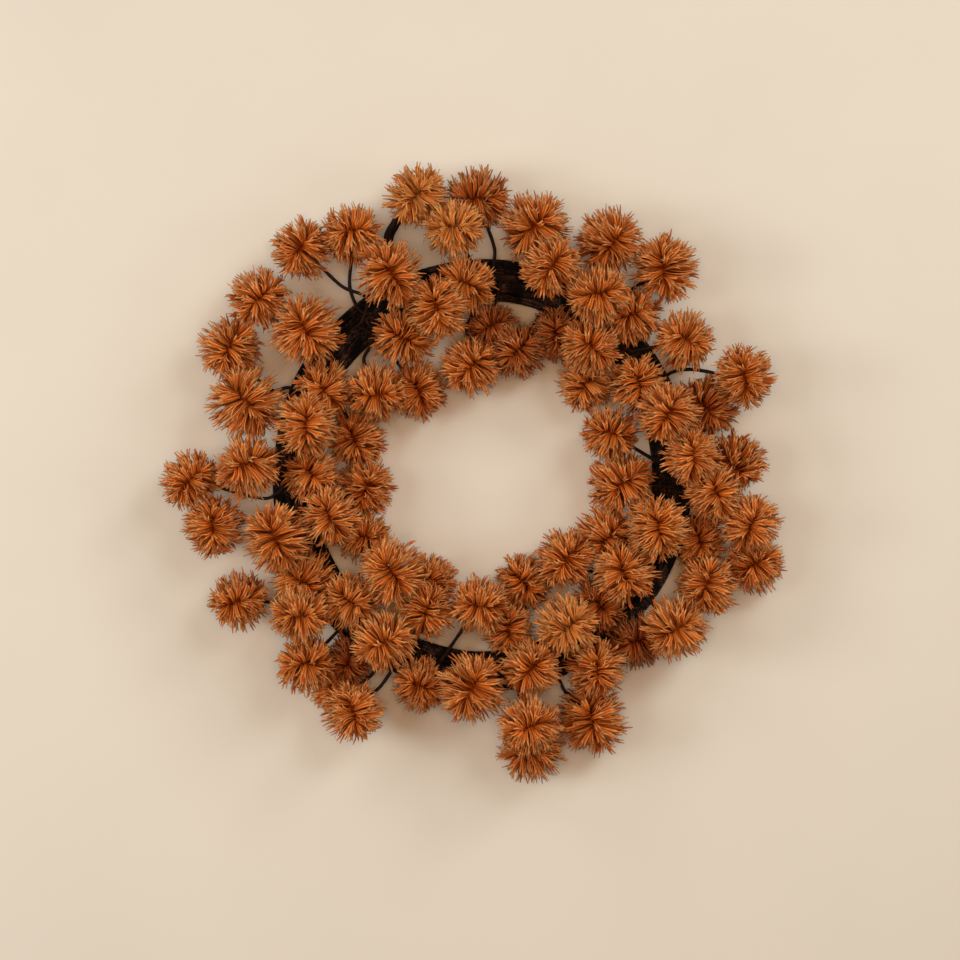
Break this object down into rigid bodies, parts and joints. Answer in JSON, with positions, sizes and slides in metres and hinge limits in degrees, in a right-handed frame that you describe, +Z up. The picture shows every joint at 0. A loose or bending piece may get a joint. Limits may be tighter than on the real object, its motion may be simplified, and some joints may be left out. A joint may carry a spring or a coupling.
{
  "type": "candle ring",
  "caption": "Candle ring of dense spiny brown seed heads on short wired stems, tied in picks to a flat ring of dark bundled twigs, with an open middle for a pillar candle",
  "frame": {"origin": "on the table, under the middle of the whole object's box", "axes": "+Z up out of the table, +Y towards the top of the picture, +X to its right"},
  "size_m": [0.3042, 0.3016, 0.0639],
  "materials": {
    "twig_ring": "matt",
    "wired_stems": "matt",
    "seed_heads": "matt"
  },
  "bodies": {
    "root": {"ring_bundle": "twig_ring", "stems_01": "wired_stems", "heads_01a": "seed_heads", "heads_01b": "seed_heads", "stems_02": "wired_stems", "heads_02a": "seed_heads", "heads_02b": "seed_heads", "stems_03": "wired_stems", "heads_03a": "seed_heads", "heads_03b": "seed_heads", "stems_04": "wired_stems", "heads_04a": "seed_heads", "stems_05": "wired_stems", "heads_05a": "seed_heads", "heads_05b": "seed_heads", "stems_06": "wired_stems", "heads_06a": "seed_heads", "heads_06b": "seed_heads", "stems_07": "wired_stems", "heads_07a": "seed_heads", "heads_07b": "seed_heads", "stems_08": "wired_stems", "heads_08a": "seed_heads", "heads_08b": "seed_heads", "stems_09": "wired_stems", "heads_09a": "seed_heads", "heads_09b": "seed_heads", "stems_10": "wired_stems", "heads_10a": "seed_heads", "stems_11": "wired_stems", "heads_11a": "seed_heads", "heads_11b": "seed_heads", "stems_12": "wired_stems", "heads_12a": "seed_heads", "heads_12b": "seed_heads", "stems_13": "wired_stems", "heads_13a": "seed_heads", "heads_13b": "seed_heads", "stems_14": "wired_stems", "heads_14a": "seed_heads", "heads_14b": "seed_heads", "stems_15": "wired_stems", "heads_15a": "seed_heads", "heads_15b": "seed_heads", "stems_16": "wired_stems", "heads_16a": "seed_heads", "heads_16b": "seed_heads", "stems_17": "wired_stems", "heads_17a": "seed_heads", "heads_17b": "seed_heads", "stems_18": "wired_stems", "heads_18a": "seed_heads", "stems_19": "wired_stems", "heads_19a": "seed_heads", "heads_19b": "seed_heads", "stems_20": "wired_stems", "heads_20a": "seed_heads", "heads_20b": "seed_heads", "stems_21": "wired_stems", "heads_21a": "seed_heads"}
  },
  "joints": []
}
